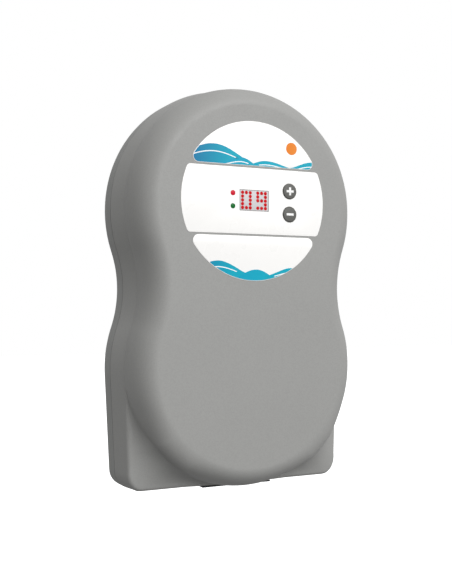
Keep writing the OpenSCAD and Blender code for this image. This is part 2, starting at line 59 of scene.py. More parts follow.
# --- Driving sizes of the case, as in the CAD -------------------------------------------------
LOBE_R = 94.7
UPPER_Y = 54.7
LOWER_Y = -62.3
WAIST_R = 87.5
BOTTOM_Y = -150.0
SIDE_TAPER = math.radians(2.9)
CORNER_R = 13.0
FRONT_Z = 62.0
BASE_Z = 34.0
SEAM_Z = 15.4
RIM_Z = 16.2
EDGE_R = 16.0
EDGE_DROP = 25.0
BASE_EDGE_R = 4.0
COVE_RISE = 14.0
COVE_SHARE = 0.7
DOME_FLAT = 2.0
DOME_IN = 4.5
FOOT_IN = 4.6
TOP_LESS = 0.36
WALL = 3.0
PANEL_Y = 60.4
PANEL_R = 58.4
STRIP_HALF = 24.2
PANEL_GAP = 1.4
PANEL_SINK = 0.7
PANEL_T = 0.9
PANEL_EDGE = 0.18
PANEL_FLOOR = FRONT_Z - PANEL_SINK
PRINT_Z = PANEL_FLOOR + PANEL_T
HAIR = 0.02  # gap above a recess floor, or overlap into the face below
KEY_X = 29.3
KEY_Y = 8.6
KEY_R = 5.65
LAMPS = {"red_lamp": (-17.7, 5.2), "green_lamp": (-17.7, -4.3)}
LAMP_R = 1.9
WINDOW_AT = (-0.3, 0.35 + PANEL_Y)
WINDOW = (24.0, 15.3)
HOLE_Z = 55.0
PLATE_HALF = 24.0
NOTCH_TOP = BASE_Z - 2.4
NOTCH_H = 14.0
CASE_SCREWS = [(sx * 72.0, y) for sx in (-1, 1) for y in (UPPER_Y + 36.5, LOWER_Y - 36.5)]
BOARD_SCREWS = [(sx * 58.0, y) for sx in (-1, 1) for y in (0.0, 92.0)]
DISPLAY_SCREWS = [(sx * 47.0, PANEL_Y + sy * 23.0) for sx in (-1, 1) for sy in (-1, 1)]
TONGUE_IN = 4.3
TONGUE_T = 2.0
TONGUE_Z = 18.5
RIB_R = 83.0
RIB_UPPER_R = 89.6
RIB_LOWER_R = 88.0
RIB_TOP = 36.0
POCKET_AT = (0.0, 3.0)
POCKET_BOX = (108.0, 62.0)
POCKET_ROOM = (104.0, 58.0)
POCKET_Z = 10.0
POCKET_WALL = 2.0
MOUTH_AT = (0.0, -3.0)
MOUTH = (104.0, 46.0)
TOROID_AT = (0.0, -88.0)


def place(p):
    """A point of the plan frame, in mm, as a point of the row frame, in metres."""
    return Vector((p[0], -p[2], p[1])) * MM


# --- Camera -----------------------------------------------------------------------------------
CAMERA_AT = (-0.3061, -0.6433, -0.0152)
CAMERA_TURN = 25.95
CAMERA_TILT = 0.8
LENS = 55.48
SENSOR = 36.0


def add_camera():
    """Camera at the left front, level with the middle of the case. Its sensor spans the picture's height."""
    data = bpy.data.cameras.new("camera")
    data.sensor_width = SENSOR
    data.lens = LENS
    cam = bpy.data.objects.new("camera", data)
    bpy.context.scene.collection.objects.link(cam)
    turn = math.radians(CAMERA_TURN)
    tilt = math.radians(CAMERA_TILT)
    cam.location = CAMERA_AT
    look = Vector((math.sin(turn) * math.cos(tilt), math.cos(turn) * math.cos(tilt), math.sin(tilt)))
    cam.rotation_euler = look.to_track_quat("-Z", "Y").to_euler()
    bpy.context.scene.camera = cam


add_camera()


# --- Mesh helpers -----------------------------------------------------------------------------
SQUARE = ((-1, -1), (1, -1), (1, 1), (-1, 1))
CORNER_N = 5
SHELL_ANGLE = 30
DETAIL_ANGLE = 40
DOME_ANGLE = 50


def object_from(name, verts, faces, body=None, material=None, smooth_angle=35.0):
    """A new object from plan-frame points in mm."""
    mesh = bpy.data.meshes.new(name)
    mesh.from_pydata([place(v) for v in verts], [], faces)
    mesh.update()
    bm = bmesh.new()
    bm.from_mesh(mesh)
    bmesh.ops.remove_doubles(bm, verts=bm.verts, dist=1e-7)
    bmesh.ops.recalc_face_normals(bm, faces=bm.faces)
    bm.to_mesh(mesh)
    bm.free()
    ob = bpy.data.objects.new(name, mesh)
    bpy.context.scene.collection.objects.link(ob)
    shade(ob, smooth_angle)
    if material:
        ob.data.materials.append(material)
    if body:
        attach(ob, body)
    return ob


def shade(ob, angle):
    """Smooth shading with sharp edges kept above that angle."""
    mesh = ob.data
    mesh.polygons.foreach_set("use_smooth", [True] * len(mesh.polygons))
    mesh.set_sharp_from_angle(angle=math.radians(angle))
    mesh.update()


def apply_modifiers(ob):
    """Turns ob's modifiers into its mesh."""
    graph = bpy.context.evaluated_depsgraph_get()
    mesh = bpy.data.meshes.new_from_object(ob.evaluated_get(graph))
    ob.modifiers.clear()
    old = ob.data
    ob.data = mesh
    bpy.data.meshes.remove(old)


def boolean(ob, tools, operation):
    """Cuts the tool objects out of ob, or adds them to it, and removes the tools."""
    for tool in tools:
        mod = ob.modifiers.new("cut", "BOOLEAN")
        mod.object = tool
        mod.operation = operation
        mod.solver = "EXACT"
    bpy.context.view_layer.update()
    apply_modifiers(ob)
    for tool in tools:
        mesh = tool.data
        bpy.data.objects.remove(tool)
        bpy.data.meshes.remove(mesh)


def weighted_normals(ob):
    """Lets the large faces of ob set the shading of its rounded edges."""
    mod = ob.modifiers.new("normals", "WEIGHTED_NORMAL")
    mod.keep_sharp = True
    mod.weight = 80
    apply_modifiers(ob)


def finish_shell(ob, material, body, node):
    """Shades a moulded shell, dresses it and puts it in the place of its CAD node."""
    ob.data.materials.clear()
    ob.data.materials.append(material)
    shade(ob, SHELL_ANGLE)
    weighted_normals(ob)
    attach(ob, body)
    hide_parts(node)


def bands(m, n):
    """Faces between m rings of n points each."""
    return [(j * n + i, j * n + (i + 1) % n, (j + 1) * n + (i + 1) % n, (j + 1) * n + i)
            for j in range(m - 1) for i in range(n)]


def ends(m, n):
    """The first and the last of m rings of n points, as faces."""
    return [tuple(range(n)), tuple(range((m - 1) * n, m * n))]


def prism(outline, z0, z1):
    """Straight prism on a plan outline, as a tool for boolean()."""
    n = len(outline)
    verts = [(x, y, z) for z in (z0, z1) for x, y in outline]
    return object_from("tool", verts, ends(2, n) + bands(2, n))


def circle(at, r, n=64):
    """Outline of n points round a circle."""
    return [(at[0] + r * math.cos(2 * math.pi * i / n), at[1] + r * math.sin(2 * math.pi * i / n))
            for i in range(n)]


def grown(size, d):
    """A (width, height) pair made larger by d."""
    return (size[0] + d, size[1] + d)


def rectangle(at, size, r=0.0):
    """Rectangle outline, with rounded corners if r is given."""
    w, h = size[0] / 2, size[1] / 2
    if r <= 0:
        return [(at[0] + sx * w, at[1] + sy * h) for sx, sy in SQUARE]
    points = []
    for k, (sx, sy) in enumerate(((1, 1), (-1, 1), (-1, -1), (1, -1))):
        for i in range(CORNER_N + 1):
            a = math.pi / 2 * (k + i / CORNER_N)
            points.append((at[0] + sx * (w - r) + r * math.cos(a), at[1] + sy * (h - r) + r * math.sin(a)))
    return points


def inset(outline, d):
    """Moves an outline inwards by d along its corners' normals."""
    pts = np.array(outline, float)
    before, after = np.roll(pts, 1, 0) - pts, np.roll(pts, -1, 0) - pts
    e0 = -before / np.maximum(np.linalg.norm(before, axis=1), 1e-9)[:, None]
    e1 = after / np.maximum(np.linalg.norm(after, axis=1), 1e-9)[:, None]
    n0, n1 = np.stack([-e0[:, 1], e0[:, 0]], 1), np.stack([-e1[:, 1], e1[:, 0]], 1)
    area = 0.5 * np.sum(pts[:, 0] * np.roll(pts[:, 1], -1) - np.roll(pts[:, 0], -1) * pts[:, 1])
    side = 1.0 if area > 0 else -1.0
    n = (n0 + n1) * side
    n /= np.maximum(np.linalg.norm(n, axis=1), 1e-9)[:, None]
    spread = np.clip(np.sum(n * n0 * side, axis=1), 0.5, 1.0)
    return pts + n * (d / spread)[:, None]


def quarter(steps, last=None):
    """Angles that divide a right angle into steps, from the first step to the last one wanted."""
    return [math.pi / 2 * i / steps for i in range(1, (last or steps) + 1)]


def plate(name, outline, z0, z1, edge, body, material, steps=3):
    """Flat plate on an outline, its front edge rounded."""
    rings = [(0.0, z0), (0.0, z1 - edge)]
    rings += [(edge * (1 - math.cos(a)), z1 - edge + edge * math.sin(a)) for a in quarter(steps)]
    m, n = len(rings), len(outline)
    verts = [(x, y, z) for d, z in rings for x, y in (inset(outline, d) if d else outline)]
    return object_from(name, verts, bands(m, n) + ends(m, n), body, material)


def turned(profile, at, n, through=False):
    """Points and faces of a solid turned about an axis along z.

    profile is [(r, z)]. Its two ends become discs, or they meet round a bore that goes through.
    """
    m = len(profile)
    verts = [(x, y, z) for r, z in profile for x, y in circle(at, r, n)]
    close = [((m - 1) * n + i, (m - 1) * n + (i + 1) % n, (i + 1) % n, i) for i in range(n)]
    return verts, bands(m, n) + (close if through else ends(m, n))


def rounded(r, z, inwards, up, steps, last=None):
    """Profile points of an edge that is rounded inwards and up from (r, z)."""
    return [(r - inwards + inwards * math.cos(a), z + up * math.sin(a)) for a in quarter(steps, last)]


def merged(parts):
    """Joins several (verts, faces) into one."""
    verts, faces = [], []
    for v, f in parts:
        base = len(verts)
        verts += v
        faces += [tuple(base + i for i in face) for face in f]
    return verts, faces


# --- Materials --------------------------------------------------------------------------------
def srgb(r, g, b):
    """Linear colour from 8-bit screen values."""
    def one(c):
        c /= 255.0
        return c / 12.92 if c <= 0.04045 else ((c + 0.055) / 1.055) ** 2.4
    return (one(r), one(g), one(b), 1.0)


def tint(colour, k):
    """The colour made lighter or darker by the factor k."""
    return tuple(min(1.0, c * k) for c in colour[:3]) + (1.0,)


class Mat:
    """A node material under construction."""

    def __init__(self, name):
        self.material = bpy.data.materials.new(name)
        self.material.use_nodes = True
        self.tree = self.material.node_tree
        self.shader = self.tree.nodes["Principled BSDF"]
        self.coords = self.tree.nodes.new("ShaderNodeTexCoord")

    def node(self, kind, **values):
        n = self.tree.nodes.new(kind)
        for key, value in values.items():
            if key in n.inputs:
                n.inputs[key].default_value = value
            else:
                setattr(n, key, value)
        return n

    def link(self, a, b):
        self.tree.links.new(a, b)

    def noise(self, scale, detail=3.0, rough=0.55, stretch=None):
        n = self.node("ShaderNodeTexNoise", Scale=scale, Detail=detail, Roughness=rough)
        source = self.coords.outputs["Object"]
        if stretch:
            mapping = self.node("ShaderNodeMapping", Scale=stretch)
            self.link(source, mapping.inputs["Vector"])
            source = mapping.outputs["Vector"]
        self.link(source, n.inputs["Vector"])
        return n.outputs["Fac"]

    def ramp(self, fac, stops):
        """Colour ramp over fac, stops being (place, colour) pairs."""
        n = self.tree.nodes.new("ShaderNodeValToRGB")
        while len(n.color_ramp.elements) < len(stops):
            n.color_ramp.elements.new(0.5)
        for element, (at, colour) in zip(n.color_ramp.elements, stops):
            element.position = at
            element.color = colour
        self.link(fac, n.inputs["Fac"])
        return n.outputs["Color"]

    def mix(self, a, b, fac, blend="MIX"):
        n = self.tree.nodes.new("ShaderNodeMix")
        n.data_type = "RGBA"
        n.blend_type = blend
        for socket, value in ((n.inputs["Factor"], fac), (n.inputs["A"], a), (n.inputs["B"], b)):
            if isinstance(value, (float, int, tuple)):
                socket.default_value = value
            else:
                self.link(value, socket)
        return n.outputs["Result"]

    def spread(self, fac, low, high):
        """The middle span of a noise, laid out from low to high."""
        n = self.node("ShaderNodeMapRange")
        n.inputs["From Min"].default_value = 0.3
        n.inputs["From Max"].default_value = 0.7
        n.inputs["To Min"].default_value = low
        n.inputs["To Max"].default_value = high
        self.link(fac, n.inputs["Value"])
        return n.outputs["Result"]

    def bump(self, layers):
        """Stacks bumps of (height, strength, depth in metres)."""
        last = None
        for height, strength, depth in layers:
            n = self.node("ShaderNodeBump", Strength=strength, Distance=depth)
            self.link(height, n.inputs["Height"])
            if last:
                self.link(last, n.inputs["Normal"])
            last = n.outputs["Normal"]
        self.link(last, self.shader.inputs["Normal"])

    def set(self, **values):
        for key, value in values.items():
            self.shader.inputs[key.replace("_", " ")].default_value = value
        return self


def moulded(name, colour, rough=0.45, depth=0.00002, contrast=0.05, mottle=28.0):
    """Moulded plastic: fine spark-eroded grain, faint flow mottling and a roughness that wanders."""
    m = Mat(name)
    grain = 2600.0
    flow = m.noise(mottle, 4.0)
    speck = m.noise(grain * 0.45, 2.0)
    base = m.ramp(flow, [(0.3, tint(colour, 1 - contrast)), (0.7, tint(colour, 1 + contrast))])
    dark = m.ramp(speck, [(0.35, (0.93, 0.93, 0.93, 1)), (0.6, (1, 1, 1, 1))])
    m.link(m.mix(base, dark, 1.0, "MULTIPLY"), m.shader.inputs["Base Color"])
    m.link(m.spread(m.noise(mottle * 3.1, 3.0), rough - 0.04, rough + 0.05), m.shader.inputs["Roughness"])
    m.bump([(m.noise(grain, 2.0, 0.6), 0.35, depth), (m.noise(grain * 0.22, 2.0), 0.15, depth * 1.6)])
    m.set(IOR=1.46)
    return m.material


def film(name, colour, rough=0.28):
    """Printed polycarbonate film: smooth, a little orange peel, very faint print mottling."""
    m = Mat(name)
    base = m.ramp(m.noise(160.0, 3.0), [(0.3, tint(colour, 0.994)), (0.7, tint(colour, 1.004))])
    m.link(base, m.shader.inputs["Base Color"])
    m.link(m.spread(m.noise(60.0, 2.0), rough - 0.03, rough + 0.05), m.shader.inputs["Roughness"])
    m.bump([(m.noise(900.0, 2.0), 0.12, 0.00001)])
    m.set(IOR=1.52)
    return m.material


def ink(name, low, high, axis_span):
    """Printed ink that runs from one blue to another across the panel."""
    m = Mat(name)
    split = m.node("ShaderNodeSeparateXYZ")
    m.link(m.coords.outputs["Object"], split.inputs["Vector"])
    across = m.node("ShaderNodeMapRange")
    across.inputs["From Min"].default_value = axis_span[0] * MM
    across.inputs["From Max"].default_value = axis_span[1] * MM
    m.link(split.outputs["X"], across.inputs["Value"])
    base = m.ramp(across.outputs["Result"], [(0.0, low), (1.0, high)])
    dots = m.ramp(m.noise(2200.0, 1.0), [(0.4, (0.95, 0.95, 0.95, 1)), (0.6, (1, 1, 1, 1))])
    m.link(m.mix(base, dots, 1.0, "MULTIPLY"), m.shader.inputs["Base Color"])
    m.link(m.spread(m.noise(60.0, 2.0), 0.29, 0.37), m.shader.inputs["Roughness"])
    m.bump([(m.noise(900.0, 2.0), 0.12, 0.00001)])
    m.set(Specular_IOR_Level=0.2)
    return m.material


def metal(name, colour, rough=0.32, stretch=(1.0, 1.0, 12.0), blotch=0.12):
    """Plated or drawn metal: directional scratches over blotchy plating."""
    m = Mat(name)
    lines = m.noise(900.0, 3.0, 0.6, stretch)
    plating = m.noise(120.0, 4.0)
    base = m.ramp(plating, [(0.3, tint(colour, 1 - blotch)), (0.7, tint(colour, 1 + blotch * 0.5))])
    m.link(base, m.shader.inputs["Base Color"])
    m.link(m.spread(lines, rough - 0.08, rough + 0.12), m.shader.inputs["Roughness"])
    m.bump([(lines, 0.2, 0.00001)])
    m.set(Metallic=1.0)
    return m.material


def rubber(name):
    """Black rubber with a little dust on it."""
    m = Mat(name)
    colour = (0.018, 0.018, 0.019, 1.0)
    dust = m.ramp(m.noise(300.0, 4.0), [(0.45, colour), (0.8, tint(colour, 2.4))])
    m.link(dust, m.shader.inputs["Base Color"])
    m.link(m.spread(m.noise(500.0, 3.0), 0.62, 0.82), m.shader.inputs["Roughness"])
    m.bump([(m.noise(1800.0, 3.0), 0.3, 0.00003)])
    return m.material


def circuit(name):
    """Green solder mask with a copper pattern showing faintly through it."""
    m = Mat(name)
    turn = m.node("ShaderNodeMapping", Rotation=(math.radians(-90), 0.0, 0.0))
    m.link(m.coords.outputs["Object"], turn.inputs["Vector"])
    lines = m.node("ShaderNodeTexBrick", Scale=110.0)
    lines.offset, lines.squash, lines.offset_frequency = 0.37, 0.6, 3
    lines.inputs["Mortar Size"].default_value = 0.035
    lines.inputs["Brick Width"].default_value = 1.3
    lines.inputs["Row Height"].default_value = 0.2
    pads = m.node("ShaderNodeTexVoronoi", Scale=240.0, Randomness=0.45)
    for grid in (lines, pads):
        m.link(turn.outputs["Vector"], grid.inputs["Vector"])
    pad = m.ramp(pads.outputs["Distance"], [(0.12, (1, 1, 1, 1)), (0.17, (0, 0, 0, 1))])
    tracks = m.mix(lines.outputs["Fac"], pad, 1.0, "LIGHTEN")
    mask = m.mix(srgb(16, 74, 42), srgb(38, 120, 66), tracks)
    tone = m.ramp(m.noise(70.0, 3.0), [(0.3, (0.86, 0.86, 0.86, 1)), (0.7, (1, 1, 1, 1))])
    m.link(m.mix(mask, tone, 1.0, "MULTIPLY"), m.shader.inputs["Base Color"])
    m.link(m.spread(m.noise(200.0, 2.0), 0.25, 0.4), m.shader.inputs["Roughness"])
    m.bump([(tracks, 0.4, 0.00003)])
    m.set(Coat_Weight=0.3, Coat_Roughness=0.15)
    return m.material


TAPE_TURNS = 46
RIBBON_PITCH = 1.27
RIBBON_RED_X = -45.8


def wound(name):
    """Varnished tape wound round the transformer's ring, each turn lapping the last."""
    m = Mat(name)
    mapping = m.node("ShaderNodeMapping")
    mapping.inputs["Location"].default_value = (-TOROID_AT[0] * MM, 0.0, -TOROID_AT[1] * MM)
    m.link(m.coords.outputs["Object"], mapping.inputs["Vector"])
    split = m.node("ShaderNodeSeparateXYZ")
    m.link(mapping.outputs["Vector"], split.inputs["Vector"])
    angle = m.node("ShaderNodeMath", operation="ARCTAN2")
    m.link(split.outputs["Z"], angle.inputs[0])
    m.link(split.outputs["X"], angle.inputs[1])
    turns = m.node("ShaderNodeMath", operation="MULTIPLY")
    turns.inputs[1].default_value = TAPE_TURNS / (2 * math.pi)
    m.link(angle.outputs["Value"], turns.inputs[0])
    lap = m.node("ShaderNodeMath", operation="FRACT")
    m.link(turns.outputs["Value"], lap.inputs[0])
    tone = m.ramp(lap.outputs["Value"], [(0.0, srgb(120, 84, 22)), (0.12, srgb(204, 158, 58)),
                                        (1.0, srgb(186, 138, 44))])
    stain = m.ramp(m.noise(90.0, 4.0), [(0.3, (0.85, 0.83, 0.8, 1)), (0.7, (1, 1, 1, 1))])
    m.link(m.mix(tone, stain, 1.0, "MULTIPLY"), m.shader.inputs["Base Color"])
    m.link(m.spread(m.noise(150.0, 3.0), 0.25, 0.42), m.shader.inputs["Roughness"])
    m.bump([(lap.outputs["Value"], 0.5, 0.0003), (m.noise(800.0, 2.0), 0.2, 0.00003)])
    m.set(Coat_Weight=0.4, Coat_Roughness=0.2)
    return m.material


def flat_cable(name):
    """Ribbed grey ribbon with one red edge conductor."""
    m = Mat(name)
    split = m.node("ShaderNodeSeparateXYZ")
    m.link(m.coords.outputs["Object"], split.inputs["Vector"])
    wave = m.node("ShaderNodeMath", operation="MULTIPLY")
    wave.inputs[1].default_value = 2 * math.pi / (RIBBON_PITCH * MM)
    m.link(split.outputs["X"], wave.inputs[0])
    ribs = m.node("ShaderNodeMath", operation="SINE")
    m.link(wave.outputs["Value"], ribs.inputs[0])
    edge = m.node("ShaderNodeMath", operation="LESS_THAN")
    edge.inputs[1].default_value = RIBBON_RED_X * MM
    m.link(split.outputs["X"], edge.inputs[0])
    tone = m.ramp(m.noise(300.0, 2.0), [(0.3, srgb(128, 131, 133)), (0.7, srgb(146, 149, 151))])
    m.link(m.mix(tone, srgb(176, 30, 26), edge.outputs["Value"]), m.shader.inputs["Base Color"])
    m.link(m.spread(m.noise(200.0, 2.0), 0.38, 0.5), m.shader.inputs["Roughness"])
    m.bump([(ribs.outputs["Value"], 0.6, 0.0002)])
    return m.material


def lens(name, colour, glow, spec=0.35):
    """Tinted epoxy lamp: deep colour, glossy, a little light from inside."""
    m = Mat(name)
    tone = m.ramp(m.noise(700.0, 2.0), [(0.3, tint(colour, 0.85)), (0.7, tint(colour, 1.1))])
    m.link(tone, m.shader.inputs["Base Color"])
    m.link(m.spread(m.noise(400.0, 2.0), 0.22, 0.32), m.shader.inputs["Roughness"])
    m.link(tone, m.shader.inputs["Emission Color"])
    m.bump([(m.noise(600.0, 1.0), 0.1, 0.00001)])
    m.set(Emission_Strength=glow, Specular_IOR_Level=spec)
    return m.material


def clear_glass(name):
    """Faintly tinted glass of the fuse's tube."""
    m = Mat(name)
    tone = m.ramp(m.noise(200.0, 2.0), [(0.3, srgb(226, 238, 240)), (0.7, srgb(240, 248, 250))])
    m.link(tone, m.shader.inputs["Base Color"])
    m.link(m.spread(m.noise(300.0, 2.0), 0.02, 0.08), m.shader.inputs["Roughness"])
    m.bump([(m.noise(500.0, 1.0), 0.05, 0.00001)])
    m.set(Transmission_Weight=0.9, IOR=1.47)
    return m.material


case_plastic = moulded("case_plastic", srgb(153, 153, 151), rough=0.5, contrast=0.012, mottle=22.0)
rear_plastic = moulded("rear_plastic", srgb(147, 148, 146), rough=0.52, contrast=0.015, mottle=22.0)
panel_film = film("panel_film", srgb(252, 251, 249))
window_film = film("window_film", srgb(200, 198, 200), rough=0.42)
window_line = film("window_line", srgb(118, 116, 118), rough=0.4)
wave_ink = ink("wave_ink", srgb(0, 116, 164), srgb(0, 166, 190), (-50.0, -18.0))
foam_ink = ink("foam_ink", srgb(0, 150, 188), srgb(0, 168, 194), (-50.0, 10.0))
foam_white = film("foam_white", srgb(250, 251, 251), rough=0.3)
sun_ink = ink("sun_ink", srgb(230, 122, 22), srgb(238, 146, 48), (20.0, 46.0))
key_plastic = moulded("key_plastic", srgb(90, 90, 86), rough=0.42, contrast=0.02, depth=0.00001)
sign_paint = film("sign_paint", srgb(244, 244, 243), rough=0.35)
# Near-black moulding of the connectors and switches. On the entry plate it is also painted shade.
dark_plastic = moulded("dark_plastic", srgb(40, 43, 45), rough=0.5, contrast=0.08)
dot_glow = lens("dot_glow", srgb(190, 8, 18), 0.12, 0.1)
red_lens = lens("red_lens", srgb(200, 14, 44), 0.12, 0.2)
green_lens = lens("green_lens", srgb(0, 104, 40), 0.06, 0.2)

CAD_LOOKS = {
    "seam_gasket": rubber("gasket_rubber"),
    "mains_grommet": rubber("grommet_rubber"),
    "wall_bracket": metal("bracket_zinc", srgb(176, 180, 184)),
    "case_screws": metal("screw_zinc", srgb(196, 198, 202), 0.26),
    "main_board": circuit("solder_mask"),
    "transformer": wound("winding_tape"),
    "transformer_washer": metal("washer_zinc", srgb(188, 190, 194), 0.3, (1.0, 1.0, 1.0)),
    "transformer_leads": moulded("lead_insulation", srgb(168, 34, 28), 0.35, contrast=0.06),
    "transformer_plug": moulded("plug_nylon", srgb(226, 220, 200), 0.4, contrast=0.03),
    "rectifier": moulded("epoxy_black", srgb(30, 30, 32), 0.4, contrast=0.1),
    "heatsink": metal("extruded_aluminium", srgb(176, 178, 182), 0.36, (12.0, 1.0, 1.0), 0.06),
    "relays": moulded("relay_blue", srgb(38, 88, 158), 0.35, contrast=0.04),
    "capacitors": moulded("capacitor_sleeve", srgb(34, 40, 66), 0.25, contrast=0.08),
    "mains_terminals": moulded("terminal_green", srgb(46, 128, 78), 0.42, contrast=0.05),
    "fuse_glass": clear_glass("fuse_tube"),
    "display_module": moulded("module_grey", srgb(206, 206, 202), 0.45, contrast=0.03),
    "switch_plungers": moulded("plunger_grey", srgb(128, 128, 126), 0.4, contrast=0.04),
    "ribbon_cable": flat_cable("ribbon_pvc"),
    # The entry plate's near-black is partly its own colour and partly painted shade: its front edge stands in
    # for the shadow line along the cover's bottom edge.
    "entry_plate": dark_plastic,
}
SAME_LOOK = {
    "mains_grommet": ["cell_grommet", "sensor_grommet", "transformer_pads"],
    "case_screws": ["board_screws", "display_screws", "transformer_bolt", "terminal_screws",
                    "fuse_clips", "fuse_caps"],
    "main_board": ["display_board"],
    "rectifier": ["microcontroller"],
    "mains_terminals": ["cell_terminals"],
    "entry_plate": ["ribbon_header", "ribbon_plug", "display_connector", "key_switches"],
}


def dress_cad():
    """Gives every carried-over CAD node its material."""
    looks = dict(CAD_LOOKS)
    for source, others in SAME_LOOK.items():
        for other in others:
            looks[other] = CAD_LOOKS[source]
    for name, material in looks.items():
        ob = nodes[name]
        ob.data.materials.clear()
        ob.data.materials.append(material)


dress_cad()


# --- The case outline as rays from a spine ----------------------------------------------------
HALF_PITCH = (UPPER_Y - LOWER_Y) / 2
MID_Y = (UPPER_Y + LOWER_Y) / 2
WAIST_X = math.sqrt((LOBE_R + WAIST_R) ** 2 - HALF_PITCH ** 2)
BLEND = math.asin(HALF_PITCH / (LOBE_R + WAIST_R))
DROP = LOWER_Y - BOTTOM_Y
CORNER_DOWN = DROP - CORNER_R
CORNER_OUT = (LOBE_R - CORNER_R - math.sin(SIDE_TAPER) * CORNER_DOWN) / math.cos(SIDE_TAPER)
UPPER_N, LOWER_N, WAIST_N = 96, 180, 20


def case_rays():
    """Rays (spine point, direction, length to the dome's side, angle below the lower lobe's centre)."""
    rays = []
    sweep = math.pi + 2 * BLEND

    def dip(a):
        if a <= math.pi or a >= 2 * math.pi:
            return 0.0
        return a - math.pi if a < 1.5 * math.pi else 2 * math.pi - a

    def lobe(y, start, n, low):
        for i in range(n):
            a = start + sweep * i / n
            rays.append(((0.0, y), (math.cos(a), math.sin(a)), LOBE_R, dip(a) if low else 0.0))

    def waist(start, end, n):
        for i in range(n):
            a = start + (end - start) * i / n
            s = -1 if math.cos(a) > 0 else 1
            rays.append(((0.0, MID_Y - s * WAIST_X * math.tan(a)), (-math.cos(a), -math.sin(a)),
                         WAIST_X / abs(math.cos(a)) - WAIST_R, 0.0))

    lobe(UPPER_Y, -BLEND, UPPER_N, False)
    waist(BLEND, -BLEND, WAIST_N)
    lobe(LOWER_Y, math.pi - BLEND, LOWER_N, True)
    waist(math.pi + BLEND, math.pi - BLEND, WAIST_N)
    return rays


RAYS = case_rays()


def corner_turn(r):
    """Angles below the horizontal between which a ray meets the base's bottom corner."""
    return (math.atan2(CORNER_DOWN + r * math.sin(SIDE_TAPER), CORNER_OUT + r * math.cos(SIDE_TAPER)),
            math.atan2(CORNER_DOWN + r, CORNER_OUT))


def case_len(ray, o):
    """Length of a ray to the outer side of the case, moved inwards by o."""
    b, r = ray[3], CORNER_R - o
    if b <= SIDE_TAPER:
        return ray[2] - o
    first, last = corner_turn(r)
    if b < first:
        return (LOBE_R - o) / math.cos(b - SIDE_TAPER)
    if b < last:
        along = CORNER_OUT * math.cos(b) + CORNER_DOWN * math.sin(b)
        return along + math.sqrt(along ** 2 - CORNER_OUT ** 2 - CORNER_DOWN ** 2 + r ** 2)
    return (DROP - o) / math.sin(b)


def at_ray(ray, length, z):
    """The point at a length along a ray, at height z."""
    return (ray[0][0] + ray[1][0] * length, ray[0][1] + ray[1][1] * length, z)


def arc(centre, r, a0, a1, n, skip_first=True):
    """Points of an arc in a section, angles in radians."""
    return [(centre[0] + r * math.cos(a0 + (a1 - a0) * i / n), centre[1] + r * math.sin(a0 + (a1 - a0) * i / n))
            for i in range(1 if skip_first else 0, n + 1)]


ARC_N, WALL_N, COVE_N, EDGE_N, SIDE_N = 14, 4, 9, 5, 4
SHELF_LEAST = 0.4


def sag(p, low, q, n):
    """n points of a hollow slope from p to q that sags towards low."""
    mid = [0.5 * low[i] + 0.25 * (p[i] + q[i]) for i in (0, 1)]
    return [tuple((1 - t) ** 2 * p[i] + 2 * t * (1 - t) * mid[i] + t * t * q[i] for i in (0, 1))
            for t in (j / n for j in range(1, n + 1))]


def line(p, q, n):
    """n points on the way from p to q, q included."""
    return [(p[0] + (q[0] - p[0]) * i / n, p[1] + (q[1] - p[1]) * i / n) for i in range(1, n + 1)]


def side_share(b, r):
    """1 on the sides of the case, falling to 0 round the base's bottom corners."""
    first, last = corner_turn(r)
    return min(1.0, max(0.0, (last - b) / (last - first)))


def cover_section(ray, o):
    """Section of the cover's skin along one ray, as (length, height) pairs, moved inwards by o."""
    side = case_len(ray, o)
    reach = ray[2] - o - DOME_FLAT * math.sin(ray[3]) ** 2
    less = 1 - TOP_LESS * max(ray[1][1], 0.0)
    floor_z = BASE_Z - o
    dome, foot = reach - DOME_IN * less, reach - FOOT_IN * less
    lean = max(0.0, min(FOOT_IN * less, side - foot)) * side_share(ray[3], CORNER_R - o)
    shelf = side - foot - lean
    rise, r = min(COVE_RISE, COVE_SHARE * max(shelf, 0.0)), min(BASE_EDGE_R - o, shelf * 0.45)
    drop = min(EDGE_DROP, FRONT_Z - BASE_Z - rise)
    across, down_by, k = EDGE_R - o, drop - o, FRONT_Z - drop
    points = [(dome - across + across * math.cos(a), k + down_by * math.sin(a))
              for a in (math.pi / 2 * (1 - i / ARC_N) for i in range(ARC_N + 1))]
    out = side - lean
    if shelf > SHELF_LEAST:
        points += line(points[-1], (foot, floor_z + rise), WALL_N)
        points += sag((foot, floor_z + rise), (foot, floor_z), (out - r, floor_z), COVE_N)
        points += arc((out - r, floor_z - r), r, math.pi / 2, 0.0, EDGE_N)
    else:
        low_z = floor_z - BASE_EDGE_R
        low = side - lean * (low_z - RIM_Z) / (floor_z - RIM_Z)
        points += line(points[-1], (out, floor_z), WALL_N)
        points += line((out, floor_z), (low, low_z), COVE_N + EDGE_N)
    return points + line(points[-1], (side, RIM_Z), SIDE_N)


def skin_solid(name, sections):
    """Closed solid from rings of points, first and last ring capped."""
    m, n = len(sections), len(RAYS)
    return object_from(name, [p for ring in sections for p in ring], ends(m, n) + bands(m, n))


# --- Panel outlines ---------------------------------------------------------------------------
STRIP_CORNER = 3.0
BADGE_CORNER = 4.5


def slice_turn(r, c, y):
    """Angle at which a corner of radius c, its centre at height y, touches a circle of radius r."""
    return math.atan2(y, math.sqrt((r - c) ** 2 - y ** 2))


def strip_outline(grow=0.0):
    """The control strip: a band across the circle with rounded corners."""
    corner = STRIP_CORNER
    r, half = PANEL_R + grow, STRIP_HALF + grow
    a = slice_turn(r, corner, half - corner)
    cx, cy = (r - corner) * math.cos(a), half - corner
    side = arc((cx, -cy), corner, -math.pi / 2, -a, 8, False)
    side += arc((0, 0), r, -a, a, 40)
    side += arc((cx, cy), corner, a, math.pi / 2, 8)
    return [(x, y + PANEL_Y) for x, y in side + [(-x, y) for x, y in reversed(side)]]


